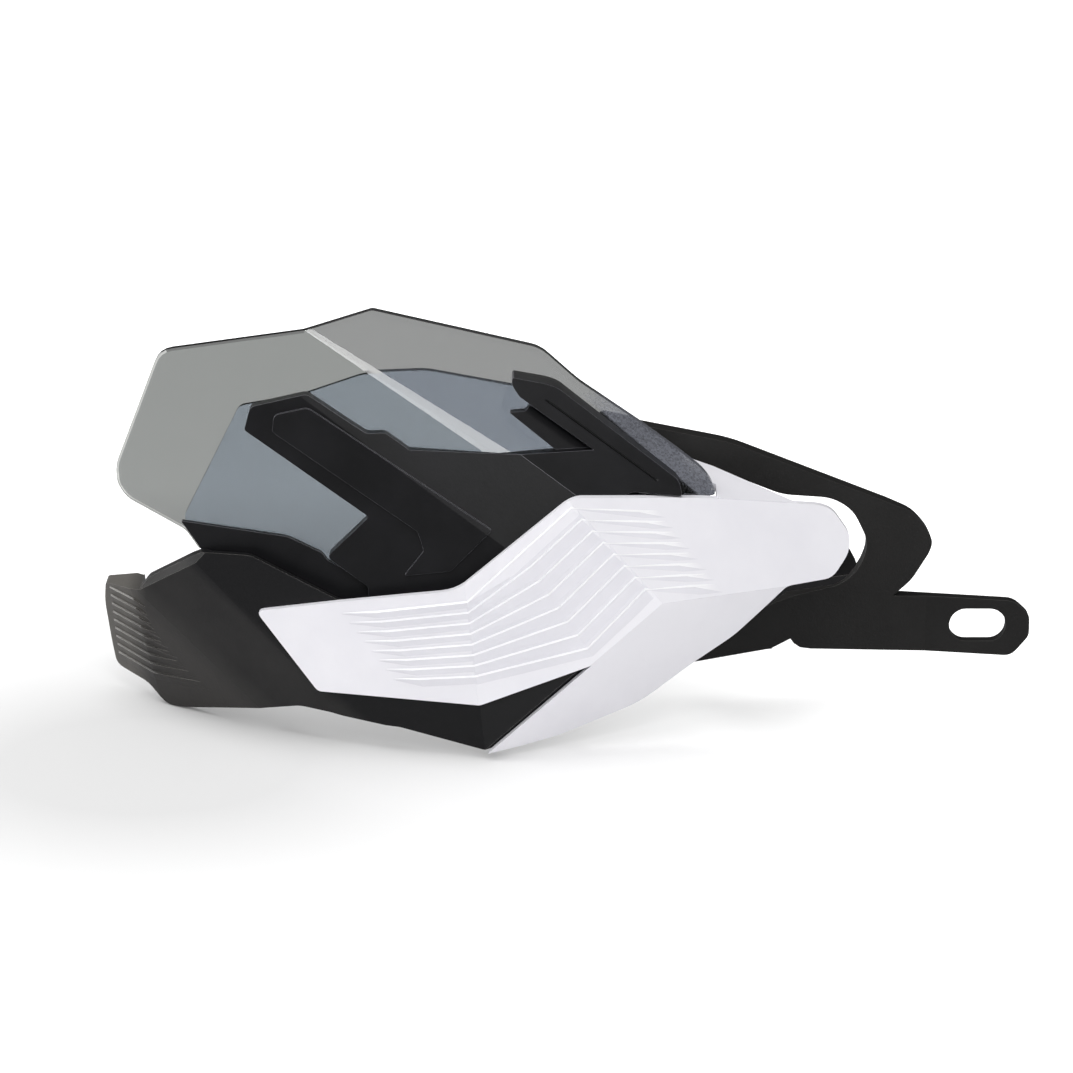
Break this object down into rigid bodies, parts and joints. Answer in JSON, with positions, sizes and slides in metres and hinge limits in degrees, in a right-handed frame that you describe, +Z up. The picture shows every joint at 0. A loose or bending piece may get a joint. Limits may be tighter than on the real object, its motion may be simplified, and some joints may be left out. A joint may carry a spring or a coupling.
{
  "type": "motorcycle hand guard",
  "caption": "Faceted hand guard for a motorcycle's right grip, with a stepped front shield, a smoked wind deflector and a slotted bracket arm.",
  "frame": {"origin": "centre of the arm's slot, on the arm's front face", "axes": "+X inboard towards the slotted arm, +Y back towards the rider, +Z up"},
  "size_m": [0.3526, 0.0941, 0.1541],
  "materials": {
    "core_black": "moulded black, satin",
    "shield_white": "moulded white, satin",
    "bracket_black": "moulded black, fine grain",
    "deck_black": "moulded black, satin",
    "smoke_outer": "smoked clear sheet, polished edge",
    "smoke_inner": "smoked clear sheet",
    "screw_steel": "blackened steel",
    "washer_steel": "zinc plated",
    "bolt_steel": "blackened steel",
    "insert_brass": "plain turned"
  },
  "bodies": {
    "root": {"core_shell": "core_black", "front_shield": "shield_white", "support_bracket": "bracket_black", "deflector_deck": "deck_black", "windscreen_outer": "smoke_outer", "windscreen_inner": "smoke_inner", "shield_screws": "screw_steel", "shield_washers": "washer_steel", "deck_screws": "screw_steel", "deck_washers": "washer_steel", "screen_screws": "screw_steel", "screen_washers": "washer_steel", "bracket_bolts": "bolt_steel", "bracket_washers": "washer_steel", "bracket_inserts": "insert_brass"}
  },
  "joints": []
}
